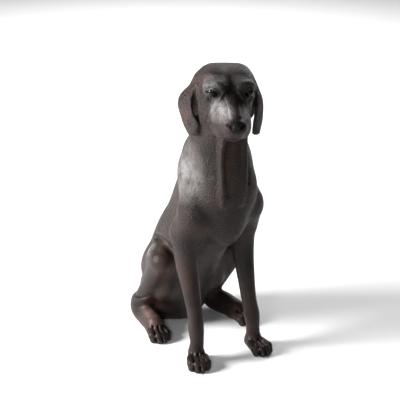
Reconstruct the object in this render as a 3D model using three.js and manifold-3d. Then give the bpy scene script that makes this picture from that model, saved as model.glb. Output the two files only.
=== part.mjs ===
// A seated hound, cast hollow in resin as one piece, with its head turned to its right.
// Millimetres, +Z up. The hound faces -Y and its own left side is +X.
import * as THREE from "three";
import { mergeVertices } from "three/addons/utils/BufferGeometryUtils.js";
import Module from "manifold-3d";

// Driving dimensions. The figure is set out in parts, 802 of them to its height.
const HEIGHT = 802;
const PARTS_IN_HEIGHT = 802;
const PART = HEIGHT / PARTS_IN_HEIGHT;

// Head: where its middle stands, and its turn about the upright, sideways and long axes in degrees
const HEAD_CENTRE = [-20.5, -82, 754];
const HEAD_TURN = -21.5;
const HEAD_NOD = 13;
const HEAD_TILT = 2;
const SKULL_HALF_WIDTH = 58;
const EYE_RADIUS = 12.5;
const EYE_SPACING = 88;
const BRIDGE_HALF_WIDTH = 16;
const MOUTH_HALF_WIDTH = 52;
const NOSE_HALF_WIDTH = 23;
const NOSE_REACH = 148;
const NOSTRIL_SPACING = 32;
const EAR_THICKNESS = 15;
const EAR_HALF_WIDTH = 36;
const EAR_DROP = 128;

// Trunk
const CHEST_HALF_WIDTH = 93;
const CHEST_HALF_DEPTH = 116;
const RUMP_HALF_WIDTH = 104;
const NECK_HALF_WIDTH = 61;

// Legs
const FORELEG_SPACING = 176;
const FORELEG_RADIUS = 22;
const ELBOW_HEIGHT = 350;
const KNEE_HEIGHT = 238;
const KNEE_RADIUS = 30;
const HOCK_HEIGHT = 51;
const PAW_HALF_WIDTH = 28;
const TOE_RADIUS = 11.5;
const TOES = 4;

// Where each leg stands, as [x, y] over the ground, and the turn of its toes outward in degrees
const RIGHT_FORELEG = { paw: [-91, -58], turn: -22 };
const LEFT_FORELEG = { paw: [86, -64], turn: -2 };
const RIGHT_HIND_LEG = { knee: [-109, 100], hock: [-111, 238], paw: [-112, 141], turn: -10 };
const LEFT_HIND_LEG = { knee: [124, 86], hock: [112, 218], paw: [140, 112], turn: 10 };

// Tail, lying on the ground behind
const TAIL_RADIUS = 20;
const TAIL_LENGTH = 150;

// Faceting: the size of a cell where the form is first found, and the facets that are kept of it
const CELL = 6;
const FACETS = 9400;
const FLATNESS = 0.35;

const RESIN = new THREE.MeshStandardMaterial({
  name: "bronze_brown_resin",
  color: 0x473d3a,
  roughness: 0.42,
  metalness: 0.35,
});

const LEFT = 1;
const RIGHT = -1;
const FAR = 1000;

// The soft join of two distances, over a blend width
function softMin(a, b, blend) {
  const h = Math.min(1, Math.max(0, 0.5 + (0.5 * (a - b)) / blend));
  return a + (b - a) * h - blend * h * (1 - h);
}

// Rows of the matrix that turns a point of the head into the figure
function headMatrix() {
  const turn = new THREE.Euler(
    THREE.MathUtils.degToRad(HEAD_NOD),
    THREE.MathUtils.degToRad(HEAD_TILT),
    THREE.MathUtils.degToRad(HEAD_TURN),
    "ZYX",
  );
  return new THREE.Matrix4().makeRotationFromEuler(turn).setPosition(...HEAD_CENTRE);
}

// A curve through stations of any length, as the list of its steps
function smoothStations(stations, steps) {
  if (stations.length === 2) {
    return stations;
  }
  const first = stations[0].map((value, i) => 2 * value - stations[1][i]);
  const last = stations.at(-1).map((value, i) => 2 * value - stations.at(-2)[i]);
  const row = [first, ...stations, last];
  const smooth = [];
  for (let n = 1; n < row.length - 2; n++) {
    for (let step = 0; step < steps; step++) {
      const t = step / steps;
      smooth.push(row[n].map((p1, i) => {
        const [p0, p2, p3] = [row[n - 1][i], row[n + 1][i], row[n + 2][i]];
        const bend = (2 * p0 - 5 * p1 + 4 * p2 - p3) * t * t + (3 * p1 - p0 - 3 * p2 + p3) * t * t * t;
        return 0.5 * (2 * p1 + (p2 - p0) * t + bend);
      }));
    }
  }
  smooth.push(stations.at(-1));
  return smooth;
}

// Distance to an ellipsoid, where k0 and k1 are the point's length in radii and in radii squared
function scaledDistance(k0, k1) {
  return (k0 * (k0 - 1)) / Math.max(k1, 1e-6);
}

// Clay holds forms that are laid on, or cut away, one after another with soft joins.
// A form laid on both sides is mirrored in the plane x = 0.
class Clay {
  constructor() {
    this.forms = [];
  }

  lay(low, high, blend, options, distance) {
    const pad = blend + 14;
    this.forms.push({
      low: low.map((value) => value - pad),
      high: high.map((value) => value + pad),
      blend,
      both: options.both === true,
      cut: options.cut === true,
      distance,
    });
  }

  // An ellipsoid with half sizes, leaned about the X axis by so many degrees
  egg(at, size, blend, options = {}) {
    const lean = THREE.MathUtils.degToRad(options.lean ?? 0);
    const [c, s] = [Math.cos(lean), Math.sin(lean)];
    const reach = lean === 0 ? size : size.map(() => Math.max(...size));
    const low = at.map((value, i) => value - reach[i]);
    const high = at.map((value, i) => value + reach[i]);
    this.lay(low, high, blend, options, (x, y, z) => {
      const [dx, dy, dz] = [x - at[0], y - at[1], z - at[2]];
      const u = dx / size[0];
      const v = (dy * c + dz * s) / size[1];
      const w = (dz * c - dy * s) / size[2];
      const k1 = Math.hypot(u / size[0], v / size[1], w / size[2]);
      return scaledDistance(Math.hypot(u, v, w), k1);
    });
  }

  // A limb through stations [x, y, z, half width along side, half depth across it]
  tube(stations, blend, options = {}) {
    const side = new THREE.Vector3(...(options.side ?? [1, 0, 0]));
    const rows = smoothStations(stations, options.steps ?? 5);
    const widest = Math.max(...rows.map((row) => Math.max(row[3], row[4])));
    const low = [0, 1, 2].map((i) => Math.min(...rows.map((row) => row[i])) - widest);
    const high = [0, 1, 2].map((i) => Math.max(...rows.map((row) => row[i])) + widest);
    const links = rows.slice(1).map((next, n) => {
      const from = new THREE.Vector3(...rows[n]);
      const along = new THREE.Vector3(...next).sub(from);
      const across = side.clone().addScaledVector(along, -side.dot(along) / along.lengthSq()).normalize();
      const [a, b] = [[rows[n][3], next[3]], [rows[n][4], next[4]]];
      return { from, along, across, length2: along.lengthSq(), a, b };
    });
    this.lay(low, high, blend, options, (x, y, z) => {
      let best = FAR;
      for (const { from, along, across, length2, a, b } of links) {
        const [px, py, pz] = [x - from.x, y - from.y, z - from.z];
        const t = Math.min(1, Math.max(0, (px * along.x + py * along.y + pz * along.z) / length2));
        const [ox, oy, oz] = [px - t * along.x, py - t * along.y, pz - t * along.z];
        const wide = a[0] + (a[1] - a[0]) * t;
        const deep = b[0] + (b[1] - b[0]) * t;
        const u = ox * across.x + oy * across.y + oz * across.z;
        const v = Math.sqrt(Math.max(0, ox * ox + oy * oy + oz * oz - u * u));
        const k1 = Math.hypot(u / (wide * wide), v / (deep * deep));
        best = Math.min(best, scaledDistance(Math.hypot(u / wide, v / deep), k1));
      }
      return best;
    });
  }

  // A straight bar that tapers from one radius to another
  bone(from, to, radiusFrom, radiusTo, blend, options = {}) {
    const wide = options.wide ?? 1;
    this.tube([[...from, radiusFrom * wide, radiusFrom], [...to, radiusTo * wide, radiusTo]], blend, options);
  }

  // The box round every form that is laid on, with its pad
  box() {
    const box = new THREE.Box3();
    for (const { low, high, both } of this.forms.filter((form) => !form.cut)) {
      box.expandByPoint(new THREE.Vector3(...low));
      box.expandByPoint(new THREE.Vector3(...high));
      box.expandByPoint(new THREE.Vector3(both ? -high[0] : low[0], low[1], low[2]));
    }
    return box;
  }

  // The signed distance to the clay, negative inside; start is what is there already
  distance(x, y, z, start = FAR) {
    let total = start;
    for (const form of this.forms) {
      const px = form.both ? Math.abs(x) : x;
      const { low, high } = form;
      const outside = px < low[0] || px > high[0] || y < low[1] || y > high[1] || z < low[2] || z > high[2];
      if (outside) {
        continue;
      }
      const own = form.distance(px, y, z);
      total = form.cut ? -softMin(-total, own, form.blend) : softMin(total, own, form.blend);
    }
    return total;
  }
}

const BOTH = { both: true };
const BOTH_CUT = { both: true, cut: true };

function modelSkull(head) {
  head.egg([0, 14, -8], [SKULL_HALF_WIDTH, 72, 45], 10);
  head.egg([30, 12, 12.5], [36, 56, 30], 14, BOTH);
  head.egg([0, 54, -6], [34, 26, 32], 18);
}

function modelCheeks(head) {
  head.egg([42, -24, -10], [23, 42, 22], 18, BOTH);
  head.egg([38, -4, -46], [27, 50, 40], 20, BOTH);
  head.egg([44, 24, -46], [24, 34, 36], 18, BOTH);
}

function modelBrows(head) {
  head.egg([24, -42, 16], [21, 22, 17], 14, BOTH);
  head.tube([[16, -58, 22, 7, 7], [34, -58, 27, 7, 7], [50, -49, 24, 7, 7], [60, -34, 12, 7, 7]], 16, BOTH);
}

function modelMuzzle(head) {
  const tip = -NOSE_REACH;
  const bridge = BRIDGE_HALF_WIDTH;
  const corner = MOUTH_HALF_WIDTH - 10;
  const nose = [0, tip + 6, -44, 25, 22];
  head.tube([[0, -40, -26, 38, 30], [0, -78, -34, 32, 31], [0, -116, -42, 28, 29], nose], 14);
  head.tube([[0, -48, 2, bridge, 9], [0, -100, -8, bridge, 9], [0, tip + 10, -20, bridge, 8]], 5);
  head.tube([[0, -10, -64, 40, 26], [0, -76, -76, 32, 18], [0, -120, -79, 22, 14]], 12);
  head.tube([
    [corner, -56, -68, 10, 16],
    [corner - 4, -88, -62, 13, 24],
    [corner - 13, -118, -58, 15, 26],
    [15, -138, -53, 13, 21],
  ], 12, BOTH);
  head.egg([0, tip, -33], [NOSE_HALF_WIDTH, 16, 15], 5);
}

// The ridge from the inner corner of the eye down to the corner of the mouth, and the hollow beside it
function carveCheeks(head) {
  const corner = MOUTH_HALF_WIDTH - 2;
  const ridge = [[17, -64, 12, 4, 4], [33, -65, -14, 4, 4], [43, -64, -42, 4, 4], [corner, -64, -66, 4, 4]];
  head.tube(ridge, 7, BOTH);
  head.egg([corner, -62, -16], [9, 9, 11], 12, BOTH_CUT);
}

function modelEyes(head) {
  const out = EYE_SPACING / 2;
  head.egg([out, -72, 7], [EYE_RADIUS + 4, EYE_RADIUS, EYE_RADIUS], 7, BOTH_CUT);
  head.egg([out, -54, 7], [EYE_RADIUS, EYE_RADIUS, EYE_RADIUS], 2, BOTH);
}

// The furrow of the forehead, the nostrils and the mouth
function carveFace(head) {
  const furrow = [[0, -76, 16, 7, 6], [0, -58, 36, 10, 8], [0, -24, 49, 10, 7], [0, 16, 52, 8, 5]];
  head.tube(furrow, 14, { cut: true });
  head.egg([NOSTRIL_SPACING / 2, -NOSE_REACH - 13, -31], [5, 7, 5], 3, BOTH_CUT);
  const corner = MOUTH_HALF_WIDTH - 2;
  const mouth = [[0, -158, -70], [14, -152, -76], [29, -126, -84], [corner, -64, -82]];
  head.tube(mouth.map((place) => [...place, 3, 3]), 4, BOTH_CUT);
}

// An ear is a leaf that hangs from the side of the skull; flare is how far its rear edge stands out
function modelEar(head, hand, flare) {
  const thick = EAR_THICKNESS / 2;
  const wide = EAR_HALF_WIDTH;
  const top = 24;
  const drop = EAR_DROP;
  head.tube([
    [hand * 45.5, 27, top, wide * 0.49, thick],
    [hand * (58 + 4 * flare), 20, 8, wide * 0.6, thick],
    [hand * (66 + 8 * flare), 11, -20, wide * (0.83 - 0.16 * flare), thick],
    [hand * (78 + 14 * flare), 2, top - drop * 0.6, wide, thick],
    [hand * (81 + 5 * flare), -12, top - drop * 0.89, wide * 0.88, thick],
    [hand * (78 + 2 * flare), -26, top - drop * 1.125, wide * 0.51, thick],
  ], 7, { side: [hand * (0.6 + 0.03 * flare), 0.82, 0], steps: 6 });
}

// The root of each ear behind, and the deep hollow between ear and cheek
function carveEarHollows(head) {
  head.egg([70, 32, -60], [20, 13, 56], 8, BOTH);
  head.tube([
    [-70, -8, 22, 3, 6],
    [-76, -18, 0, 8, 22],
    [-78, -22, -25, 9, 26],
    [-76, -26, -50, 9, 26],
    [-70, -34, -72, 7, 20],
    [-64, -42, -88, 4, 10],
  ], 5, { cut: true });
  head.tube([
    [70, -6, 18, 3, 6],
    [76, -14, -5, 7, 22],
    [75.5, -16, -30, 8, 26],
    [71, -24, -58, 7, 24],
    [65, -34, -82, 5, 20],
    [63, -40, -100, 4, 12],
  ], 5, { cut: true });
}

function modelHead() {
  const head = new Clay();
  modelSkull(head);
  modelCheeks(head);
  modelBrows(head);
  modelMuzzle(head);
  carveCheeks(head);
  modelEyes(head);
  carveFace(head);
  modelEar(head, RIGHT, 1);
  modelEar(head, LEFT, 0);
  carveEarHollows(head);
  return head;
}

function modelTrunk(body) {
  const wide = CHEST_HALF_WIDTH;
  const deep = CHEST_HALF_DEPTH;
  const rump = RUMP_HALF_WIDTH;
  const neck = NECK_HALF_WIDTH;
  body.tube([
    [0, 214, 85, rump * 0.9, 86],
    [0, 190, 175, rump, 98],
    [0, 138, 268, wide * 1.09, 105],
    [0, 80, 345, wide * 1.01, deep * 0.905],
    [2, 30, 420, wide, deep],
    [0, -4, 485, wide * 0.99, deep * 0.93],
    [-7, -22, 540, wide * 0.925, deep * 0.815],
    [-18, -34, 590, neck * 1.21, 80],
    [-25, -50, 640, neck, 68],
    [-26, -60, 690, neck * 0.92, 58],
    [-22, -48, 730, neck * 0.82, 50],
  ], 18);
  body.egg([44, 240, 84], [rump * 0.58, 58, 88], 24, BOTH);
}

function modelShoulders(body) {
  const elbow = [FORELEG_SPACING / 2 - 1, 6, ELBOW_HEIGHT];
  body.bone([42, 20, 560], [72, -24, 425], 38, 46, 26, BOTH);
  body.bone([79, -24, 403], elbow, 45, 42, 22, BOTH);
  body.egg([-66, 6, 510], [34, 46, 52], 22);
  body.egg([28, -76, 470], [44, 32, 60], 24, BOTH);
  body.egg([0, -50, 398], [53, 46, 80], 30);
}

// Two cords of the throat and the furrow between them
function carveThroat(body) {
  const rightCord = [[-46, -118, 640, 9], [-52, -112, 590, 8], [-50, -112, 520, 7], [-42, -106, 450, 6]];
  const leftCord = [[14, -112, 640, 9], [16, -110, 590, 8], [14, -110, 520, 8], [6, -108, 450, 6]];
  const furrow = [[-28, -112, 660, 4], [-29, -118, 560, 5], [-30, -118, 480, 4]];
  const round = (stations) => stations.map((station) => [...station, station[3]]);
  body.tube(round(rightCord), 14);
  body.tube(round(leftCord), 14);
  body.tube(round(furrow), 12, { cut: true });
}

// A paw whose ankle is over (x, y), turned outward by so many degrees about the upright
function modelPaw(body, [x, y], turnOut) {
  const turn = THREE.MathUtils.degToRad(turnOut);
  const [ahead, aside] = [[Math.sin(turn), -Math.cos(turn)], [Math.cos(turn), Math.sin(turn)]];
  const place = (off, forward, z) => [
    x + aside[0] * off + ahead[0] * forward,
    y + aside[1] * off + ahead[1] * forward,
    z,
  ];
  const pad = PAW_HALF_WIDTH * 0.7;
  body.bone(place(0, -12, 17), place(0, 12, 19), pad, pad, 14, { side: [...aside, 0], wide: 1.2 });
  for (let toe = 0; toe < TOES; toe++) {
    const share = toe / (TOES - 1) - 0.5;
    const off = share * PAW_HALF_WIDTH * 1.375;
    const knuckle = 38 + 16.5 * (1 - Math.abs(share) * 2);
    const end = off * 1.08;
    body.bone(place(off, 14, 20), place(end, knuckle, 18), TOE_RADIUS, TOE_RADIUS, 5);
    body.bone(place(end, knuckle, 18), place(end, knuckle + 8, 8), TOE_RADIUS, TOE_RADIUS * 0.87, 4);
  }
}

function modelForeleg(body, hand, { paw, turn }) {
  const x = (hand * FORELEG_SPACING) / 2 - 2;
  const r = FORELEG_RADIUS;
  body.tube([
    [x, 8, ELBOW_HEIGHT, r * 1.64, r * 1.95],
    [x, 0, 270, r * 1.36, r * 1.5],
    [x - 2 * hand, -20, 200, r * 1.11, r * 1.18],
    [x - 3 * hand, -38, 140, r * 0.955, r],
    [x, -50, 96, r, r],
    [(x + paw[0]) / 2, -56, 62, r * 0.865, r * 0.91],
    [paw[0], paw[1] + 6, 34, r * 0.955, r * 0.91],
  ], 16);
  body.egg([x, 40, ELBOW_HEIGHT + 2], [17, 16, 24], 16);
  body.egg([x - hand * 14, -46, 104], [9, 10, 14], 8);
  modelPaw(body, paw, turn);
}

function modelHindLeg(body, hand, { knee, hock, paw, turn }) {
  const kneeCap = [...knee, KNEE_HEIGHT];
  const middle = [(hock[0] + paw[0]) / 2, (hock[1] + paw[1]) / 2];
  body.egg([hand * 75, 170, 170], [45, 66, 82], 24, { lean: -20 });
  body.bone([hand * 72, 176, 190], kneeCap, 52, KNEE_RADIUS, 26);
  body.bone(kneeCap, [hock[0], hock[1] - 12, HOCK_HEIGHT + 19], KNEE_RADIUS, 25, 14);
  body.egg([...hock, HOCK_HEIGHT], [27, 34, 43], 14);
  body.tube([
    [hock[0], hock[1] - 24, 37, 24, 35],
    [...middle, 34, 24, 37],
    [paw[0], paw[1] + 6, 30, 25, 30],
  ], 12);
  modelPaw(body, paw, turn);
}

function modelTail(body) {
  const r = TAIL_RADIUS;
  const end = TAIL_LENGTH;
  body.tube([
    [0, 286, 60, r * 1.3, r * 1.2],
    [end * 0.09, 334, 24, r, r * 0.95],
    [end * 0.35, 386, 15, r * 0.9, r * 0.85],
    [end * 0.69, 420, 11, r * 0.7, r * 0.65],
    [end, 424, 8, r * 0.5, r * 0.45],
  ], 18);
}

function modelBody() {
  const body = new Clay();
  modelTrunk(body);
  modelShoulders(body);
  carveThroat(body);
  modelForeleg(body, RIGHT, RIGHT_FORELEG);
  modelForeleg(body, LEFT, LEFT_FORELEG);
  modelHindLeg(body, RIGHT, RIGHT_HIND_LEG);
  modelHindLeg(body, LEFT, LEFT_HIND_LEG);
  modelTail(body);
  return body;
}

// The whole hound as one distance, the head joined softly to the neck, and the box that it is in
function hound() {
  const body = modelBody();
  const head = modelHead();
  const fromHead = headMatrix();
  const toHead = fromHead.clone().invert();
  const point = new THREE.Vector3();
  const distance = (x, y, z) => {
    const trunk = body.distance(x, y, z);
    point.set(x, y, z).applyMatrix4(toHead);
    return softMin(trunk, head.distance(point.x, point.y, point.z), 18);
  };
  return { distance, space: body.box().union(head.box().applyMatrix4(fromHead)) };
}

// Corners of a cell are numbered by their bits: 1 along X, 2 along Y and 4 along Z.
// Six tetrahedra fill a cell, each along three of its edges from corner 0 to corner 7.
const TETRAHEDRA = [[0, 1, 3, 7], [0, 2, 6, 7], [0, 4, 5, 7], [0, 5, 1, 7], [0, 3, 2, 7], [0, 6, 4, 7]];

// The orders of four corners that keep a tetrahedron's hand
const EVEN_ORDERS = [
  [0, 1, 2, 3], [0, 2, 3, 1], [0, 3, 1, 2], [1, 0, 3, 2], [1, 2, 0, 3], [1, 3, 2, 0],
  [2, 0, 1, 3], [2, 1, 3, 0], [2, 3, 0, 1], [3, 0, 2, 1], [3, 1, 0, 2], [3, 2, 1, 0],
];

// The surface in one tetrahedron as a ring of edges [corner, corner], or nothing
function ringThrough(corners, inside) {
  const count = inside.filter((value) => value).length;
  if (count === 0 || count === 4) {
    return [];
  }
  const lead = count < 3;
  const few = lead ? count : 1;
  const leads = (order) => order.every((corner, place) => (inside[corner] === lead) === (place < few));
  const [a, b, c, d] = EVEN_ORDERS.find(leads).map((corner) => corners[corner]);
  const ring = few === 2 ? [[a, c], [a, d], [b, d], [b, c]] : [[a, b], [a, c], [a, d]];
  return lead ? ring : ring.reverse();
}

// A block of the lattice, in cells, and how many blocks off the surface counts as near
const BLOCK = 4;
const NEAR_BLOCK = 1.4;

// A point stays this share of a lattice edge off both of its corners, so that no two points meet
const NEAREST = 0.1;

// The distance at every corner of the lattice. Blocks of cells that the surface is far from
// keep only the side that they are on.
function sampleLattice({ distance, space }) {
  const low = space.min.toArray();
  const blocks = space.max.toArray().map((end, axis) => Math.ceil((end - low[axis]) / CELL / BLOCK));
  const size = blocks.map((count) => count * BLOCK + 1);
  const index = ([i, j, k]) => i + size[0] * (j + size[1] * k);
  const place = (step) => step.map((count, axis) => low[axis] + count * CELL);
  const value = new Float32Array(size[0] * size[1] * size[2]);
  const fill = (block, measure) => {
    for (let k = 0; k <= BLOCK; k++) {
      for (let j = 0; j <= BLOCK; j++) {
        for (let i = 0; i <= BLOCK; i++) {
          const corner = [block[0] + i, block[1] + j, block[2] + k];
          value[index(corner)] = measure(corner);
        }
      }
    }
  };
  const near = [];
  for (let k = 0; k < blocks[2]; k++) {
    for (let j = 0; j < blocks[1]; j++) {
      for (let i = 0; i < blocks[0]; i++) {
        const block = [i * BLOCK, j * BLOCK, k * BLOCK];
        const middle = distance(...place(block.map((count) => count + BLOCK / 2)));
        if (Math.abs(middle) < NEAR_BLOCK * BLOCK * CELL) {
          near.push(block);
        } else {
          fill(block, () => Math.sign(middle) * FAR);
        }
      }
    }
  }
  near.forEach((block) => fill(block, (corner) => distance(...place(corner))));
  return { size, value, index, place };
}

// The surface as triangles, with one point on each lattice edge that it crosses
function latticeSurface(form) {
  const { size, value, index, place } = sampleLattice(form);
  const points = [];
  const pointOn = new Map();
  const faces = [];
  const cornerOf = ([i, j, k], n) => [i + (n & 1), j + ((n >> 1) & 1), k + (n >> 2)];
  const crossing = (cell, m, n) => {
    const key = 8 * index(cornerOf(cell, m & n)) + (m ^ n);
    if (!pointOn.has(key)) {
      const [from, to] = [cornerOf(cell, m), cornerOf(cell, n)];
      const [start, end] = [place(from), place(to)];
      const share = value[index(from)] / (value[index(from)] - value[index(to)]);
      const t = THREE.MathUtils.clamp(share, NEAREST, 1 - NEAREST);
      pointOn.set(key, points.length);
      points.push(start.map((along, axis) => along + (end[axis] - along) * t));
    }
    return pointOn.get(key);
  };
  const bits = [0, 1, 2, 3, 4, 5, 6, 7];
  for (let k = 0; k < size[2] - 1; k++) {
    for (let j = 0; j < size[1] - 1; j++) {
      for (let i = 0; i < size[0] - 1; i++) {
        const cell = [i, j, k];
        const inside = bits.map((n) => value[index(cornerOf(cell, n))] < 0);
        if (inside.every((side) => side === inside[0])) {
          continue;
        }
        for (const corners of TETRAHEDRA) {
          const ring = ringThrough(corners, corners.map((n) => inside[n]));
          const [first, ...others] = ring.map(([m, n]) => crossing(cell, m, n));
          for (let n = 1; n < others.length; n++) {
            faces.push([first, others[n - 1], others[n]]);
          }
        }
      }
    }
  }
  return { points, faces };
}

// The unit slope of the distance at a point, which is the surface's normal there
function normalAt([x, y, z], distance) {
  const reach = 0.5;
  return new THREE.Vector3(
    distance(x + reach, y, z) - distance(x - reach, y, z),
    distance(x, y + reach, z) - distance(x, y - reach, z),
    distance(x, y, z + reach) - distance(x, y, z - reach),
  ).normalize();
}

function faceNormal(corners) {
  const [a, b, c] = corners.map((corner) => new THREE.Vector3(...corner));
  return b.sub(a).cross(c.sub(a)).normalize();
}

// Joins the ends of short edges until few enough facets are left. An edge counts as longer
// where the form bends, and an edge is left alone where its ends share more than two
// neighbours or a facet would turn over, so the surface stays closed.
function thin({ points, faces }, distance, count) {
  const at = points.map((point) => [...point]);
  const normals = at.map((point) => normalAt(point, distance));
  const facesOf = at.map(() => new Set());
  faces.forEach((face, n) => face.forEach((point) => facesOf[point].add(n)));
  const kept = faces.map((face) => [...face]);

  const middle = (a, b) => at[a].map((value, axis) => (value + at[b][axis]) / 2);
  const length = (a, b) => {
    const straight = Math.hypot(...at[a].map((value, axis) => value - at[b][axis]));
    return straight * (FLATNESS + normals[a].angleTo(normals[b]));
  };
  const neighbours = (point) => new Set([...facesOf[point]].flatMap((n) => kept[n]));
  const canJoin = (a, b) => {
    const others = neighbours(b);
    if ([...neighbours(a)].filter((point) => others.has(point)).length !== 4) {
      return false;
    }
    const joint = middle(a, b);
    for (const n of new Set([...facesOf[a], ...facesOf[b]])) {
      const face = kept[n];
      if (face.includes(a) && face.includes(b)) {
        continue;
      }
      const before = faceNormal(face.map((point) => at[point]));
      const after = faceNormal(face.map((point) => (point === a || point === b ? joint : at[point])));
      if (before.dot(after) < 0.3) {
        return false;
      }
    }
    return true;
  };
  const join = (a, b) => {
    at[a] = middle(a, b);
    normals[a].add(normals[b]).normalize();
    for (const n of [...facesOf[b]]) {
      if (kept[n].includes(a)) {
        kept[n].forEach((point) => facesOf[point].delete(n));
        kept[n] = null;
      } else {
        kept[n] = kept[n].map((point) => (point === b ? a : point));
        facesOf[a].add(n);
      }
    }
    facesOf[b].clear();
  };

  let left = kept.length;
  for (let limit = CELL / 16; left > count && limit < 4 * CELL; limit *= 1.1) {
    for (let n = 0; n < kept.length && left > count; n++) {
      for (let side = 0; side < 3 && kept[n] !== null; side++) {
        const [a, b] = [kept[n][side], kept[n][(side + 1) % 3]];
        if (length(a, b) < limit && canJoin(a, b)) {
          join(a, b);
          left -= 2;
        }
      }
    }
  }

  const used = at.map((point, n) => n).filter((n) => facesOf[n].size > 0);
  const place = new Map(used.map((n, row) => [n, row]));
  return {
    points: used.map((n) => at[n]),
    faces: kept.filter((face) => face !== null).map((face) => face.map((point) => place.get(point))),
  };
}

function toBuffer({ points, faces }) {
  const geometry = new THREE.BufferGeometry();
  geometry.setAttribute("position", new THREE.Float32BufferAttribute(points.flat(), 3));
  geometry.setIndex(faces.flat());
  return geometry;
}

// One step of each point along the slope onto the surface
function settle({ points }, distance) {
  const reach = 0.5;
  for (const point of points) {
    const slope = [0, 1, 2].map((axis) => {
      const ahead = point.map((value, i) => value + (i === axis ? reach : 0));
      const behind = point.map((value, i) => value - (i === axis ? reach : 0));
      return (distance(...ahead) - distance(...behind)) / (2 * reach);
    });
    const steep = Math.max(0.05, slope[0] ** 2 + slope[1] ** 2 + slope[2] ** 2);
    const away = distance(...point) / steep;
    const limit = Math.min(1, 4 / Math.max(Math.abs(away) * Math.sqrt(steep), 1e-6));
    slope.forEach((value, axis) => {
      point[axis] -= value * away * limit;
    });
  }
}

// Each point moves a share of the way to the middle of its neighbours, which evens the facets
function relax({ points, faces }, share) {
  const sum = points.map(() => [0, 0, 0, 0]);
  for (const face of faces) {
    face.forEach((from, n) => {
      const to = face[(n + 1) % face.length];
      points[to].forEach((value, axis) => {
        sum[from][axis] += value;
      });
      sum[from][3]++;
    });
  }
  points.forEach((point, n) => {
    point.forEach((value, axis) => {
      point[axis] = (1 - share) * value + (share * sum[n][axis]) / sum[n][3];
    });
  });
}

const wasm = await Module();
wasm.setup();

function toSolid(geometry) {
  return new wasm.Manifold(new wasm.Mesh({
    numProp: 3,
    vertProperties: new Float32Array(geometry.attributes.position.array),
    triVerts: new Uint32Array(geometry.index.array),
  }));
}

function toGeometry(solid) {
  const { vertProperties, triVerts } = solid.getMesh();
  const geometry = new THREE.BufferGeometry();
  geometry.setAttribute("position", new THREE.BufferAttribute(new Float32Array(vertProperties), 3));
  geometry.setIndex(new THREE.BufferAttribute(new Uint32Array(triVerts), 1));
  return geometry;
}

// A block under the ground plane, which cuts the paws and the rump flat
function ground() {
  const block = new THREE.BoxGeometry(2 * HEIGHT, 2 * HEIGHT, HEIGHT);
  block.translate(0, 0, -HEIGHT / 2);
  block.deleteAttribute("normal");
  block.deleteAttribute("uv");
  return mergeVertices(block);
}

function castHound() {
  const form = hound();
  const surface = thin(latticeSurface(form), form.distance, FACETS);
  for (let round = 0; round < 2; round++) {
    relax(surface, 0.3);
    settle(surface, form.distance);
  }
  const block = toBuffer(surface);
  block.scale(PART, PART, PART);
  const geometry = toGeometry(toSolid(block).subtract(toSolid(ground())));
  geometry.computeBoundingBox();
  const middle = geometry.boundingBox.getCenter(new THREE.Vector3());
  geometry.translate(-middle.x, -middle.y, 0);
  geometry.computeVertexNormals();
  const dog = new THREE.Mesh(geometry, RESIN);
  dog.name = "dog";
  return dog;
}

const statue = new THREE.Group();
statue.add(castHound());

export default statue;
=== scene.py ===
"""A seated hound, cast in resin as one piece and finished in dark bronze-brown.

The hound is modelled like clay: forms are laid on or cut away one after another, each with a soft
join, and the surface is then found on a fine lattice. Lengths in the forms are millimetres of the
figure, which is 802 tall, faces -Y and has its own left side at +X.
"""
import math

import bpy
import numpy as np
from mathutils import Matrix, Vector


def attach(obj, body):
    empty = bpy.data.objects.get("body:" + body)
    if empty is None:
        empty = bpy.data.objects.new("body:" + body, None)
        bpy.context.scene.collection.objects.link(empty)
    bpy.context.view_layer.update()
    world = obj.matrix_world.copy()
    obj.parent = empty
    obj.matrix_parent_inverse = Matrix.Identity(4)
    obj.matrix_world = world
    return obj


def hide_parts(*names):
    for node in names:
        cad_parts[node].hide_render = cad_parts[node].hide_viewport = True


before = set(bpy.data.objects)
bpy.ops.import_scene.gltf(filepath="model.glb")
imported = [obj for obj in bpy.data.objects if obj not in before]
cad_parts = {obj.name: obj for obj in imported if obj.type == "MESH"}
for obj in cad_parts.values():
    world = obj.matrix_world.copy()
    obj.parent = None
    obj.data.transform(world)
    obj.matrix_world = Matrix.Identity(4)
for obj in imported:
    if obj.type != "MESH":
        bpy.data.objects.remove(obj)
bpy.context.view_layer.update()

MM = 0.001
# The middle of the figure's box, which stands over the row's origin
MIDDLE = (13.77, 105.43)

HEAD_CENTRE = (-20.5, -82.0, 754.0)
HEAD_TURN, HEAD_NOD, HEAD_TILT = -21.5, 13.0, 2.0
# Half sizes of the space round the head in which its forms are measured
HEAD_SPACE = (240, 240, 200)

FORELEG_SPACING = 176
TOES = 4
TOE_SPREAD = 37.7
TOE_RADIUS = 12

# The centre and the radius of the left eyeball in the head's own frame
EYE = (44, -54.5, 6)
EYE_RADIUS = 13

CELL = 2.6
MOST_TRIANGLES = 190000
FAR = 1000.0
# How far the surface lies under the forms, so that it keeps inside the facets of the solid
SKIN = 0.85


# Clay
def soft_min(a, b, blend):
    h = np.clip(0.5 + 0.5 * (a - b) / blend, 0.0, 1.0)
    return a + (b - a) * h - blend * h * (1.0 - h)


def turn_matrix(nod, tilt, turn):
    nod, tilt, turn = np.radians([nod, tilt, turn])
    about_x = np.array([[1, 0, 0], [0, np.cos(nod), -np.sin(nod)], [0, np.sin(nod), np.cos(nod)]])
    about_y = np.array([[np.cos(tilt), 0, np.sin(tilt)], [0, 1, 0], [-np.sin(tilt), 0, np.cos(tilt)]])
    about_z = np.array([[np.cos(turn), -np.sin(turn), 0], [np.sin(turn), np.cos(turn), 0], [0, 0, 1]])
    return (about_z @ about_y @ about_x).astype(np.float32)


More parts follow.
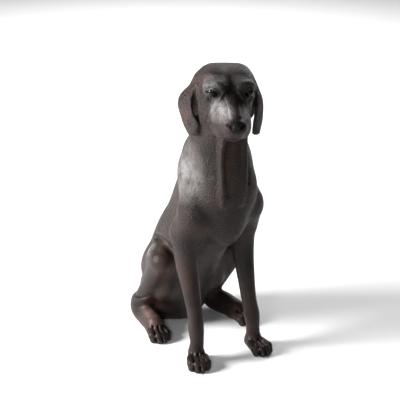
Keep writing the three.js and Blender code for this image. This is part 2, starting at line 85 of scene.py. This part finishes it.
def smooth_stations(stations, steps):
    """A Catmull-Rom curve through the rows."""
    rows = np.array(stations, np.float32)
    if len(rows) == 2:
        return rows
    ends = np.vstack([2 * rows[0] - rows[1], rows, 2 * rows[-1] - rows[-2]])
    out = []
    for n in range(len(rows) - 1):
        p0, p1, p2, p3 = ends[n:n + 4]
        for step in range(steps):
            t = step / steps
            bend = (2 * p0 - 5 * p1 + 4 * p2 - p3) * t * t + (3 * p1 - p0 - 3 * p2 + p3) * t ** 3
            out.append(0.5 * (2 * p1 + (p2 - p0) * t + bend))
    out.append(rows[-1])
    return np.array(out, np.float32)


def scaled_distance(k0, k1):
    return k0 * (k0 - 1.0) / np.maximum(k1, 1e-6)


class Clay:
    """Forms laid on, or cut away, with soft joins, measured at the points given."""

    def __init__(self, points):
        self.points = points
        self.mirrored = points.copy()
        self.mirrored[:, 0] = np.abs(points[:, 0])
        self.depth = np.full(len(points), FAR, np.float32)

    def near(self, low, high, both):
        points = self.mirrored if both else self.points
        inside = np.ones(len(points), bool)
        for axis in range(3):
            inside &= (points[:, axis] > low[axis]) & (points[:, axis] < high[axis])
        chosen = np.flatnonzero(inside)
        return chosen, points[chosen]

    def put(self, chosen, own, blend, cut):
        if cut:
            self.depth[chosen] = -soft_min(-self.depth[chosen], own, blend)
        else:
            self.depth[chosen] = soft_min(self.depth[chosen], own, blend)

    def egg(self, at, size, blend, lean=(0, 0, 0), both=False, cut=False):
        at, size = np.array(at, np.float32), np.array(size, np.float32)
        reach = (size if lean == (0, 0, 0) else size.max()) + blend + 14
        chosen, points = self.near(at - reach, at + reach, both)
        if len(chosen) == 0:
            return
        off = points - at
        if lean != (0, 0, 0):
            off = off @ turn_matrix(*lean)
        k0 = np.sqrt(((off / size) ** 2).sum(1))
        k1 = np.sqrt(((off / size ** 2) ** 2).sum(1))
        self.put(chosen, scaled_distance(k0, k1), blend, cut)

    def tube(self, stations, blend, side=(1, 0, 0), both=False, cut=False, steps=5):
        """A limb through stations (x, y, z, half width along side, half depth across it)."""
        rows = smooth_stations(stations, steps)
        centre, wide, deep = rows[:, :3], rows[:, 3], rows[:, 4]
        reach = max(wide.max(), deep.max()) + blend + 14
        chosen, points = self.near(centre.min(0) - reach, centre.max(0) + reach, both)
        if len(chosen) == 0:
            return
        side = np.array(side, np.float32)
        best = np.full(len(points), FAR, np.float32)
        for n in range(len(centre) - 1):
            along = centre[n + 1] - centre[n]
            length2 = float(along @ along)
            off = points - centre[n]
            t = np.clip(off @ along / length2, 0.0, 1.0)
            off = off - t[:, None] * along
            across = side - along * float(side @ along) / length2
            across /= np.linalg.norm(across)
            a = wide[n] + (wide[n + 1] - wide[n]) * t
            b = deep[n] + (deep[n + 1] - deep[n]) * t
            u = off @ across
            v2 = np.maximum((off * off).sum(1) - u * u, 0)
            k0 = np.sqrt((u / a) ** 2 + v2 / b ** 2)
            k1 = np.sqrt((u / a ** 2) ** 2 + v2 / b ** 4)
            best = np.minimum(best, scaled_distance(k0, k1))
        self.put(chosen, best, blend, cut)

    def bone(self, start, end, radius_start, radius_end, blend,
             side=(1, 0, 0), wide=1.0, both=False):
        """A straight bar that tapers from one radius to another."""
        rows = [(*start, radius_start * wide, radius_start), (*end, radius_end * wide, radius_end)]
        self.tube(rows, blend, side=side, both=both)


# Head, in its own turned frame
def model_skull(head):
    head.egg((0, 14, -8), (58, 72, 45), 10)
    head.egg((30, 12, 12.5), (36, 56, 30), 14, both=True)
    head.egg((0, 54, -6), (34, 26, 32), 18)
    # cheek bones, cheeks and the angle of the jaw
    head.egg((42, -24, -10), (23, 42, 22), 18, both=True)
    head.egg((38, -4, -46), (27, 50, 40), 20, both=True)
    head.egg((44, 24, -46), (24, 34, 36), 18, both=True)
    # brows
    head.egg((24, -42, 16), (21, 22, 17), 14, both=True)
    head.tube([
        (16, -58, 22, 7, 7), (34, -58, 27, 7, 7), (50, -49, 24, 7, 7), (60, -34, 12, 7, 7),
    ], 16, both=True)


def model_muzzle(head):
    head.tube([
        (0, -40, -26, 38, 30), (0, -78, -34, 32, 31), (0, -116, -42, 28, 29), (0, -142, -44, 25, 22),
    ], 14)
    # the bridge and the jaw
    head.tube([(0, -48, 2, 17, 9), (0, -100, -8, 16, 9), (0, -138, -20, 16, 8)], 4)
    head.tube([(0, -10, -64, 40, 26), (0, -76, -76, 32, 18), (0, -120, -79, 22, 14)], 12)
    # the lips, fuller toward the corner of the mouth
    head.tube([
        (42, -56, -68, 10, 16), (38, -88, -62, 13, 24), (29, -118, -58, 15, 26), (15, -138, -53, 13, 21),
    ], 12, both=True)
    # the flat flank between bridge and lip
    head.tube([
        (25, -62, -25, 10, 13), (25, -92, -31, 11, 14), (22, -120, -38, 11, 13), (17, -142, -42, 9, 11),
    ], 13, side=(0.8, 0, 0.6), both=True)
    head.egg((34, -70, -42), (12, 14, 15), 8, both=True)
    # the nose
    head.egg((0, -148, -33), (23, 16, 15), 4)


def carve_cheeks(head):
    # the ridge from the inner corner of the eye down to the corner of the mouth, on a fuller cheek
    head.tube([
        (18, -58, 4, 8, 8), (32, -60, -22, 9, 9), (40, -61, -46, 9, 9), (46, -60, -64, 8, 8),
    ], 8, both=True)
    head.tube([
        (17, -65, 12, 3, 3), (33, -67, -14, 3.4, 3.4), (43, -66, -42, 3.4, 3.4), (50, -64, -66, 3.5, 3.5),
    ], 5, both=True)
    # the hollow under the eye
    head.egg((50, -60, -15), (7, 7, 9), 10, both=True, cut=True)


def model_eyes(head):
    # the socket and the eyeball
    head.egg((44.5, -73, 6), (16.5, 14, 14), 5, both=True, cut=True)
    head.egg(EYE, (EYE_RADIUS, EYE_RADIUS, EYE_RADIUS), 1, both=True)
    # the upper and the lower lid
    head.tube([
        (29, -60, 1, 2, 2), (35, -63, 12, 2.6, 2.6), (46, -62, 18, 2.8, 2.8),
        (56, -54, 12, 2.4, 2.4), (61, -46, 3, 2, 2),
    ], 3, both=True)
    head.tube([
        (29, -60, 1, 2, 2), (37, -63, -6, 2.2, 2.2), (49, -61, -8, 2.2, 2.2), (61, -46, 3, 2, 2),
    ], 3, both=True)


def carve_face(head):
    # the furrow of the forehead
    head.tube([
        (-2, -76, 16, 8, 6), (-3, -58, 36, 12, 9), (-3, -24, 49, 11, 7), (0, 16, 52, 8, 5),
    ], 12, cut=True)
    # the nostrils
    head.tube([(12, -160, -33, 4.5, 4.5), (20, -152, -31, 3, 3)], 2, both=True, cut=True)
    # the line between nose and lip, and the mouth
    head.tube([(0, -168, -44, 1.6, 1.6), (0, -160, -62, 1.6, 1.6)], 2.5, cut=True)
    head.tube([
        (0, -158, -70, 2, 2), (14, -152, -76, 2.2, 2.2), (29, -126, -84, 2.4, 2.4),
        (40, -92, -85, 2.4, 2.4), (50, -64, -82, 2, 2),
    ], 4, side=(0, 0, 1), both=True, cut=True)


def model_ears(head):
    head.tube([
        (-46, 27, 24, 18, 7.5), (-62, 21, 9, 21, 7.5), (-74, 13, -19, 24, 7.5),
        (-92, 4, -53, 35, 7), (-86, -10, -90, 31, 7), (-80, -25, -120, 18, 6.5),
    ], 7, side=(-0.63, 0.83, 0), steps=6)
    head.tube([
        (45, 27, 23, 17, 7.5), (58, 20, 8, 22, 7.5), (66, 10, -20, 30, 7.5),
        (78, 0, -53, 37, 7), (81, -14, -90, 32, 7), (80, -26, -120, 19, 7.5),
    ], 7, side=(0.6, 0.8, 0), steps=6)
    # the root of each ear behind, and the deep hollow between ear and cheek
    head.egg((70, 32, -60), (20, 13, 56), 8, both=True)
    head.tube([
        (-66, -4, 32, 4, 7), (-72, -14, 10, 8, 20), (-77, -21, -20, 10, 26), (-76, -26, -50, 10, 26),
        (-70, -34, -72, 7, 20), (-64, -42, -88, 4, 10),
    ], 5, cut=True)
    head.tube([
        (70, -6, 18, 3, 6), (76, -14, -5, 7, 22), (75.5, -16, -30, 8, 26), (71, -24, -58, 7, 24),
        (65, -34, -82, 5, 20), (63, -40, -100, 4, 12),
    ], 5, cut=True)


def model_head(points):
    head = Clay(points)
    model_skull(head)
    model_muzzle(head)
    carve_cheeks(head)
    model_eyes(head)
    carve_face(head)
    model_ears(head)
    return head.depth


# Trunk, legs and tail
def model_trunk(body):
    body.tube([
        (0, 214, 85, 94, 86), (0, 190, 175, 104, 98), (0, 138, 268, 101, 105), (0, 80, 345, 94, 105),
        (2, 30, 420, 93, 116), (0, -4, 485, 92, 108), (-7, -22, 540, 86, 94.5), (-18, -34, 590, 74, 80),
        (-25, -50, 640, 61, 68), (-26, -60, 690, 56, 58), (-22, -48, 730, 50, 50),
    ], 18)
    body.egg((44, 240, 84), (60, 58, 88), 24, both=True)


def model_shoulders(body):
    body.bone((42, 20, 560), (72, -24, 425), 38, 46, 26, both=True)
    body.bone((79, -24, 403), (87, 6, 350), 45, 42, 22, both=True)
    body.egg((-66, 6, 510), (34, 46, 52), 22)
    body.egg((28, -76, 470), (44, 32, 60), 24, both=True)
    body.egg((0, -50, 398), (53, 46, 80), 30)


def carve_throat(body):
    body.tube([
        (-46, -118, 640, 9, 9), (-52, -112, 590, 8, 8), (-50, -112, 520, 7, 7), (-42, -106, 450, 6, 6),
    ], 14)
    body.tube([
        (14, -112, 640, 9, 9), (16, -110, 590, 8, 8), (14, -110, 520, 8, 8), (6, -108, 450, 6, 6),
    ], 14)
    body.tube([(-28, -112, 660, 4, 4), (-29, -118, 560, 5, 5), (-30, -118, 480, 4, 4)], 12, cut=True)
    # the narrower furrows beside the cords
    body.tube([(-41, -124, 630, 2, 3), (-41, -121, 570, 2.4, 3), (-38, -120, 500, 2, 3)], 5, cut=True)
    body.tube([(28, -108, 620, 2, 3), (33, -107, 560, 2.6, 3), (30, -112, 500, 2, 3)], 7, cut=True)


def carve_flanks(body):
    # the dent behind the right shoulder, and the crease where each thigh meets the belly
    body.egg((-110, -10, 527), (9, 13, 15), 14, cut=True)
    body.tube([(94, 166, 284, 3, 3), (96, 118, 290, 4, 4), (88, 80, 272, 4, 4)], 16, both=True, cut=True)
    # the crease between shank and foot, over each heel
    body.tube([(134, 238, 92, 2, 2), (132, 205, 96, 3, 3), (122, 166, 108, 3, 3)], 6, both=True, cut=True)


def model_paw(body, x, y, toe_out):
    turn = math.radians(toe_out)
    ahead, aside = (math.sin(turn), -math.cos(turn)), (math.cos(turn), math.sin(turn))

    def place(off, forward, z):
        return (x + aside[0] * off + ahead[0] * forward, y + aside[1] * off + ahead[1] * forward, z)

    body.bone(place(0, -12, 17), place(0, 12, 19), 19.5, 19.5, 14, side=(*aside, 0), wide=1.2)
    for toe in range(TOES):
        share = toe / (TOES - 1) - 0.5
        off = share * TOE_SPREAD
        forward = 38 + 16.5 * (1 - abs(share) * 2)
        body.bone(place(off, 14, 20), place(off * 1.08, forward, 18.5), TOE_RADIUS, TOE_RADIUS, 5)
        body.bone(place(off * 1.08, forward, 18), place(off * 1.08, forward + 8, 8.5), TOE_RADIUS, 10.6, 4)
        # the nail
        body.bone(place(off * 1.1, forward + 12, 13), place(off * 1.1, forward + 20, 5),
                  3.6, 2.2, 2, side=(*aside, 0))
    for cleft in range(TOES - 1):
        off = (cleft - 1) * 13.2
        reach = 50 if cleft == 1 else 46
        body.tube([
            (*place(off, 18, 35), 1.2, 2.5), (*place(off, 34, 32), 1.5, 3),
            (*place(off * 1.06, reach + 2, 21), 1.6, 3), (*place(off * 1.08, reach + 12, 8), 1.4, 3),
        ], 4, side=(*aside, 0), cut=True)


def model_foreleg(body, hand, paw, toe_out):
    x = hand * FORELEG_SPACING / 2 - 2
    body.tube([
        (x, 8, 350, 36, 43), (x, 0, 270, 30, 33), (x - 2 * hand, -20, 200, 24.5, 26),
        (x - 3 * hand, -38, 140, 21, 22), (x, -50, 96, 22, 22), ((x + paw[0]) / 2, -56, 62, 19, 20),
        (paw[0], paw[1] + 6, 34, 21, 20),
    ], 16)
    # the point of the elbow, and the small pad inside the wrist
    body.egg((x, 40, 352), (17, 16, 24), 16)
    body.egg((x - hand * 14, -46, 104), (9, 10, 14), 8)
    model_paw(body, *paw, toe_out)


def model_hind_leg(body, hand, knee, hock, paw, toe_out):
    body.egg((hand * 75, 170, 170), (45, 66, 82), 24, lean=(-20, 0, 0))
    body.bone((hand * 72, 176, 190), (*knee, 238), 52, 30, 26)
    body.egg((hand * 104, 126, 236), (24, 44, 31), 20)
    body.bone((*knee, 238), (hock[0], hock[1] - 12, 70), 30, 25, 14)
    body.egg((*hock, 51), (27, 34, 43), 14)
    middle = ((hock[0] + paw[0]) / 2, (hock[1] + paw[1]) / 2)
    body.tube([
        (hock[0], hock[1] - 24, 37, 24, 35), (*middle, 34, 24, 37), (paw[0], paw[1] + 6, 30, 25, 30),
    ], 12)
    model_paw(body, *paw, toe_out)


def model_tail(body):
    body.tube([
        (0, 286, 60, 26, 24), (13.5, 334, 24, 20, 19), (52.5, 386, 15, 18, 17),
        (103.5, 420, 11, 14, 13), (150, 424, 8, 10, 9),
    ], 18)


def model_hound(points):
    """The depth of each point under the hound's surface, negative inside."""
    body = Clay(points)
    model_trunk(body)
    model_shoulders(body)
    carve_throat(body)
    model_foreleg(body, -1, (-91, -58), -22)
    model_foreleg(body, 1, (86, -64), -2)
    model_hind_leg(body, -1, (-109, 100), (-111, 238), (-112, 141), -10)
    model_hind_leg(body, 1, (124, 86), (112, 218), (140, 112), 10)
    model_tail(body)
    carve_flanks(body)
    off = points - np.array(HEAD_CENTRE, np.float32)
    near = np.flatnonzero((np.abs(off) < np.array(HEAD_SPACE)).all(1))
    if len(near) > 0:
        own = model_head(off[near] @ turn_matrix(HEAD_NOD, HEAD_TILT, HEAD_TURN))
        body.put(near, own, 18, False)
    return np.maximum(body.depth + SKIN, -points[:, 2])


# Surface
SPACE_LOW = np.array([-190, -280, -12], np.float32)
SPACE_HIGH = np.array([200, 450, 835], np.float32)
CORNERS = np.array([(a, b, c) for a in (0, 1) for b in (0, 1) for c in (0, 1)])
EDGES = [(m, n) for m in range(8) for n in range(m + 1, 8) if np.abs(CORNERS[m] - CORNERS[n]).sum() == 1]


def sample_lattice(form, cell, block=4):
    """The form's depth on the lattice, measured closely only in the blocks that the surface crosses."""
    size = (np.ceil((SPACE_HIGH - SPACE_LOW) / cell / block).astype(int) + 1) * block + 1
    coarse = [np.arange(0, count, block) for count in size]
    grid = np.stack(np.meshgrid(*coarse, indexing="ij"), -1)
    rough = form((SPACE_LOW + grid.reshape(-1, 3) * cell).astype(np.float32)).reshape(grid.shape[:3])
    hot = np.abs(rough) < 1.2 * block * cell
    busy = np.zeros(np.array(hot.shape) - 1, bool)
    for a, b, c in CORNERS:
        busy |= hot[a:hot.shape[0] - 1 + a, b:hot.shape[1] - 1 + b, c:hot.shape[2] - 1 + c]
    depth = np.where(rough < 0, -FAR, FAR).astype(np.float32)
    for axis in range(3):
        depth = np.repeat(depth, block, axis)
    depth = depth[:size[0], :size[1], :size[2]].copy()
    steps = np.stack(np.meshgrid(*[np.arange(block + 1)] * 3, indexing="ij"), -1).reshape(-1, 3)
    places = (np.argwhere(busy)[:, None, :] * block + steps[None]).reshape(-1, 3)
    flat = np.unique(np.ravel_multi_index(places.T, depth.shape))
    places = np.stack(np.unravel_index(flat, depth.shape), 1)
    depth.ravel()[flat] = form((SPACE_LOW + places * cell).astype(np.float32))
    return depth


def surface_nets(depth):
    """One point in each cell that the surface crosses, and one quad for each edge that it crosses."""
    size = depth.shape
    inside = depth < 0
    count = np.zeros([n - 1 for n in size], np.int8)
    for a, b, c in CORNERS:
        count += inside[a:size[0] - 1 + a, b:size[1] - 1 + b, c:size[2] - 1 + c]
    cells = np.argwhere((count > 0) & (count < 8))
    number = np.full(count.shape, -1, np.int32)
    number[tuple(cells.T)] = np.arange(len(cells))
    value = np.stack([depth[tuple((cells + corner).T)] for corner in CORNERS], 1)
    total, crossings = np.zeros((len(cells), 3)), np.zeros(len(cells))
    for m, n in EDGES:
        crosses = (value[:, m] < 0) != (value[:, n] < 0)
        gap = np.where(crosses, value[:, m] - value[:, n], 1)
        point = CORNERS[m] + (value[:, m] / gap)[:, None] * (CORNERS[n] - CORNERS[m])
        total[crosses] += point[crosses]
        crossings += crosses
    points = cells + total / crossings[:, None]
    quads = []
    for axis in range(3):
        u, v = [other for other in range(3) if other != axis]
        ahead = np.eye(3, dtype=int)[axis]
        edges = np.argwhere(inside[:size[0] - ahead[0], :size[1] - ahead[1], :size[2] - ahead[2]]
                            != inside[ahead[0]:, ahead[1]:, ahead[2]:])
        edges = edges[(edges[:, u] > 0) & (edges[:, v] > 0)
                      & (edges[:, u] < size[u] - 1) & (edges[:, v] < size[v] - 1)]
        ring = []
        for back_u, back_v in ((1, 1), (0, 1), (0, 0), (1, 0)):
            cell = edges.copy()
            cell[:, u] -= back_u
            cell[:, v] -= back_v
            ring.append(number[tuple(cell.T)])
        ring = np.stack(ring, 1)
        outward = inside[tuple(edges.T)] if axis != 1 else ~inside[tuple(edges.T)]
        quads.append(np.where(outward[:, None], ring, ring[:, ::-1]))
    return points, np.concatenate(quads)


def settle(points, form):
    """One step of each point along the slope onto the surface."""
    reach = 0.4
    slope = np.empty_like(points)
    for axis in range(3):
        step = np.zeros(3, np.float32)
        step[axis] = reach
        slope[:, axis] = (form(points + step) - form(points - step)) / (2 * reach)
    steep = np.maximum((slope * slope).sum(1), 0.05)
    move = -(form(points) / steep)[:, None] * slope
    length = np.linalg.norm(move, axis=1)
    return points + move * np.minimum(1, 4.0 / np.maximum(length, 1e-6))[:, None]


def relax(points, quads, share):
    total, count = np.zeros_like(points), np.zeros(len(points), points.dtype)
    for m, n in ((0, 1), (1, 2), (2, 3), (3, 0)):
        for here, there in ((m, n), (n, m)):
            for axis in range(3):
                total[:, axis] += np.bincount(quads[:, here], points[quads[:, there], axis], len(points))
            count += np.bincount(quads[:, here], minlength=len(points))
    return (1 - share) * points + share * total / count[:, None]


def build_surface(form, cell):
    points, quads = surface_nets(sample_lattice(form, cell))
    points = (SPACE_LOW + points * cell).astype(np.float32)
    points = settle(points, form)
    for _ in range(2):
        points = settle(relax(points, quads, 0.5).astype(np.float32), form)
    points[:, 2] = np.maximum(points[:, 2], 0)
    return points, quads


points, quads = build_surface(model_hound, CELL)
points = (points - np.array([*MIDDLE, 0])) * MM
mesh = bpy.data.meshes.new("hound")
mesh.from_pydata(points.tolist(), [], quads.tolist())
mesh.update()
hound = bpy.data.objects.new("hound", mesh)
bpy.context.scene.collection.objects.link(hound)
for polygon in mesh.polygons:
    polygon.use_smooth = True
if len(quads) * 2 > MOST_TRIANGLES:
    fewer = hound.modifiers.new("fewer", "DECIMATE")
    fewer.ratio = MOST_TRIANGLES / (len(quads) * 2)
    shape = bpy.data.meshes.new_from_object(hound.evaluated_get(bpy.context.evaluated_depsgraph_get()))
    hound.modifiers.clear()
    hound.data = shape
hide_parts("dog")
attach(hound, "root")


# Finish
BROWN_DARK = (0.011, 0.008, 0.007)
BROWN = (0.024, 0.017, 0.015)
RED_BROWN = (0.046, 0.021, 0.016)
DUSTY_RED = (0.105, 0.062, 0.056)
SILVER_GREY = (0.36, 0.345, 0.345)
# near black, for painted shade in the creases and for the dark eyes
SHADE_AND_EYE_BLACK = (0.003, 0.0022, 0.0022)


def from_head(x, y, z):
    """A place of the head's own frame in the figure's."""
    return tuple(turn_matrix(HEAD_NOD, HEAD_TILT, HEAD_TURN) @ np.array([x, y, z]) + np.array(HEAD_CENTRE))


def make_resin():
    material = bpy.data.materials.new("bronze_brown_resin")
    material.use_nodes = True
    nodes, links = material.node_tree.nodes, material.node_tree.links
    shader = nodes["Principled BSDF"]

    def node(kind, **values):
        made = nodes.new(kind)
        for name, value in values.items():
            setattr(made, name, value)
        return made

    def noise(scale, detail, roughness=0.5):
        made = node("ShaderNodeTexNoise")
        made.inputs["Scale"].default_value = scale
        made.inputs["Detail"].default_value = detail
        made.inputs["Roughness"].default_value = roughness
        links.new(coordinates.outputs["Object"], made.inputs["Vector"])
        return made.outputs["Fac"]

    def ramp(value, low, high):
        made = node("ShaderNodeMapRange")
        made.inputs["From Min"].default_value = low
        made.inputs["From Max"].default_value = high
        links.new(value, made.inputs["Value"])
        return made.outputs["Result"]

    def blend(factor, first, second, kind="MIX"):
        made = node("ShaderNodeMix", data_type="RGBA", blend_type=kind)
        if isinstance(factor, float):
            made.inputs["Factor"].default_value = factor
        else:
            links.new(factor, made.inputs["Factor"])
        for socket, colour in ((made.inputs["A"], first), (made.inputs["B"], second)):
            if isinstance(colour, tuple):
                socket.default_value = (*colour, 1)
            else:
                links.new(colour, socket)
        return made.outputs["Result"]

    def maths(operation, first, second):
        made = node("ShaderNodeMath", operation=operation)
        for socket, value in zip(made.inputs, (first, second)):
            if isinstance(value, (int, float)):
                socket.default_value = value
            else:
                links.new(value, socket)
        return made.outputs[0]

    def vectors(operation, first, second=None):
        made = node("ShaderNodeVectorMath", operation=operation)
        links.new(first, made.inputs[0])
        if second is not None:
            made.inputs[1].default_value = second
        return made.outputs["Value" if operation == "LENGTH" else "Vector"]

    def zone(place, reach, core=0.35):
        """1 near a place of the figure and 0 beyond its reach along each axis."""
        centre = ((place[0] - MIDDLE[0]) * MM, (place[1] - MIDDLE[1]) * MM, place[2] * MM)
        off = vectors("SUBTRACT", coordinates.outputs["Object"], centre)
        off = vectors("MULTIPLY", off, tuple(1 / (r * MM) for r in reach))
        return ramp(vectors("LENGTH", off), 1.0, core)

    def any_of(*zones):
        joined = zones[0]
        for other in zones[1:]:
            joined = maths("MAXIMUM", joined, other)
        return joined

    coordinates = node("ShaderNodeTexCoord")
    geometry = node("ShaderNodeNewGeometry")
    pointiness = geometry.outputs["Pointiness"]

    # bronze brown, mottled, and redder where the first coat shows
    brown = blend(ramp(noise(7, 3), 0.35, 0.7), BROWN_DARK, BROWN)
    redder = any_of(zone((-122, 175, 60), (50, 95, 85)), zone((-100, 120, 215), (60, 90, 70)),
                    zone(from_head(-84, -6, -95), (40, 40, 45)), zone((-34, -112, 590), (14, 30, 120)))
    redder = maths("MULTIPLY", maths("ADD", redder, 0.35), ramp(noise(14, 4), 0.42, 0.68))
    brown = blend(redder, brown, RED_BROWN)
    foot = maths("MULTIPLY", zone((-108, 150, 58), (38, 76, 36), 0.3), ramp(noise(24, 4), 0.25, 0.6))
    brown = blend(foot, brown, DUSTY_RED)
    # silver-grey on the high places, partly real wear and partly painted highlight where the key light falls
    rubbed_and_highlit = any_of(
        maths("MULTIPLY", zone(from_head(-28, -100, -24), (26, 62, 40), 0.0), 1.1),
        maths("MULTIPLY", zone(from_head(-48, -44, 24), (28, 40, 34), 0.0), 0.7),
        maths("MULTIPLY", zone((-96, -12, 522), (42, 80, 100), 0.0), 0.65),
        maths("MULTIPLY", zone((-112, 156, 252), (28, 36, 26), 0.0), 0.8))
    rubbed_and_highlit = maths("MULTIPLY", rubbed_and_highlit, ramp(noise(38, 5, 0.6), 0.26, 0.6))
    edges = maths("MULTIPLY", ramp(pointiness, 0.52, 0.62), ramp(noise(60, 4), 0.35, 0.7))
    wear_and_highlight = maths("MULTIPLY", maths("MAXIMUM", rubbed_and_highlit, maths("MULTIPLY", edges, 0.3)), 0.85)
    # silver-grey laid on as wear along the edges and as painted highlight on the right muzzle flank, brow,
    # shoulder and knee
    colour = blend(wear_and_highlight, brown, SILVER_GREY)
    # painted shade in the concave creases, and the dark eyes
    colour = blend(ramp(pointiness, 0.495, 0.43), colour, SHADE_AND_EYE_BLACK)
    eye_reach = (EYE_RADIUS + 1, EYE_RADIUS + 1, EYE_RADIUS + 1)
    eyes = any_of(zone(from_head(-EYE[0], *EYE[1:]), eye_reach, 0.93), zone(from_head(*EYE), eye_reach, 0.93))
    # the dark eyes, the darkened nose, and painted shade in the deep gaps between each ear and cheek
    eyes_nose_and_painted_shade = any_of(
        eyes,
        zone(from_head(0, -158, -34), (27, 18, 18), 0.7),
        zone(from_head(-75, -20, -18), (9, 26, 50), 0.6),
        zone(from_head(75, -18, -30), (9, 26, 50), 0.6))
    colour = blend(eyes_nose_and_painted_shade, colour, SHADE_AND_EYE_BLACK)
    links.new(colour, shader.inputs["Base Color"])
    shader.inputs["Metallic"].default_value = 0.15
    shader.inputs["Specular IOR Level"].default_value = 0.2

    roughness = node("ShaderNodeMapRange")
    roughness.inputs["To Min"].default_value = 0.38
    roughness.inputs["To Max"].default_value = 0.54
    links.new(noise(30, 4), roughness.inputs["Value"])
    dull = roughness.outputs["Result"]
    glossy = node("ShaderNodeMix", data_type="FLOAT")
    links.new(eyes, glossy.inputs["Factor"])
    links.new(dull, glossy.inputs["A"])
    glossy.inputs["B"].default_value = 0.12
    links.new(glossy.outputs["Result"], shader.inputs["Roughness"])

    # short hair as fine stipples, plainer on the legs and gone on the eyes
    stipple = node("ShaderNodeTexVoronoi")
    stipple.inputs["Scale"].default_value = 240
    links.new(coordinates.outputs["Object"], stipple.inputs["Vector"])
    parts = node("ShaderNodeSeparateXYZ")
    links.new(coordinates.outputs["Object"], parts.inputs["Vector"])
    hairy = maths("ADD", ramp(parts.outputs["Z"], 0.22, 0.40), 0.3)
    hairy = maths("MULTIPLY", hairy, maths("SUBTRACT", 1.0, eyes))
    bump = node("ShaderNodeBump")
    links.new(maths("MULTIPLY", hairy, 0.7), bump.inputs["Strength"])
    bump.inputs["Distance"].default_value = 0.002
    height = maths("ADD", stipple.outputs["Distance"], noise(380, 2))
    links.new(maths("ADD", height, noise(70, 3)), bump.inputs["Height"])
    links.new(bump.outputs["Normal"], shader.inputs["Normal"])
    return material


hound.data.materials.clear()
hound.data.materials.append(make_resin())


# Stage
def make_floor():
    floor_mesh = bpy.data.meshes.new("floor")
    floor_mesh.from_pydata([(-8, -8, 0), (8, -8, 0), (8, 8, 0), (-8, 8, 0)], [], [(0, 1, 2, 3)])
    floor = bpy.data.objects.new("floor", floor_mesh)
    bpy.context.scene.collection.objects.link(floor)
    material = bpy.data.materials.new("pale_floor")
    material.use_nodes = True
    shader = material.node_tree.nodes["Principled BSDF"]
    shader.inputs["Base Color"].default_value = (0.93, 0.93, 0.93, 1)
    shader.inputs["Roughness"].default_value = 0.9
    floor_mesh.materials.append(material)


def make_light(name, place, target, size, power):
    data = bpy.data.lights.new(name, "AREA")
    data.shape = "DISK"
    data.size = size
    data.energy = power
    light = bpy.data.objects.new(name, data)
    light.location = place
    light.rotation_euler = (Vector(target) - Vector(place)).to_track_quat("-Z", "Y").to_euler()
    bpy.context.scene.collection.objects.link(light)


def make_camera():
    turn, rise = math.radians(-30.13), math.radians(19.5)
    distance = 2.6
    target = Vector(((-46.5 - MIDDLE[0]) * MM, (3.6 - MIDDLE[1]) * MM, 433 * MM))
    back = Vector((math.sin(turn) * math.cos(rise), -math.cos(turn) * math.cos(rise), math.sin(rise)))
    right = Vector((math.cos(turn), math.sin(turn), 0))
    data = bpy.data.cameras.new("camera")
    data.sensor_width = 36
    data.lens = 90
    camera = bpy.data.objects.new("camera", data)
    axes = Matrix((right, back.cross(right), back)).transposed().to_4x4()
    camera.matrix_world = Matrix.Translation(target + back * distance) @ axes
    bpy.context.scene.collection.objects.link(camera)
    bpy.context.scene.camera = camera


make_floor()
make_camera()
make_light("key", (-2.7, 0.75, 1.35), (0, 0, 0.45), 1.2, 250)
make_light("rim", (2.3, 1.1, 1.5), (0, 0, 0.5), 1.2, 22)
make_light("fill", (-1.9, -2.3, 1.7), (0, 0, 0.6), 0.9, 26)
make_light("floor_light", (1.9, 3.6, 2.6), (1.9, 3.6, 0), 5.0, 170)

world = bpy.data.worlds.new("studio")
world.use_nodes = True
world.node_tree.nodes["Background"].inputs["Color"].default_value = (1, 1, 1, 1)
world.node_tree.nodes["Background"].inputs["Strength"].default_value = 0.1
bpy.context.scene.world = world
bpy.context.scene.view_settings.view_transform = "Standard"
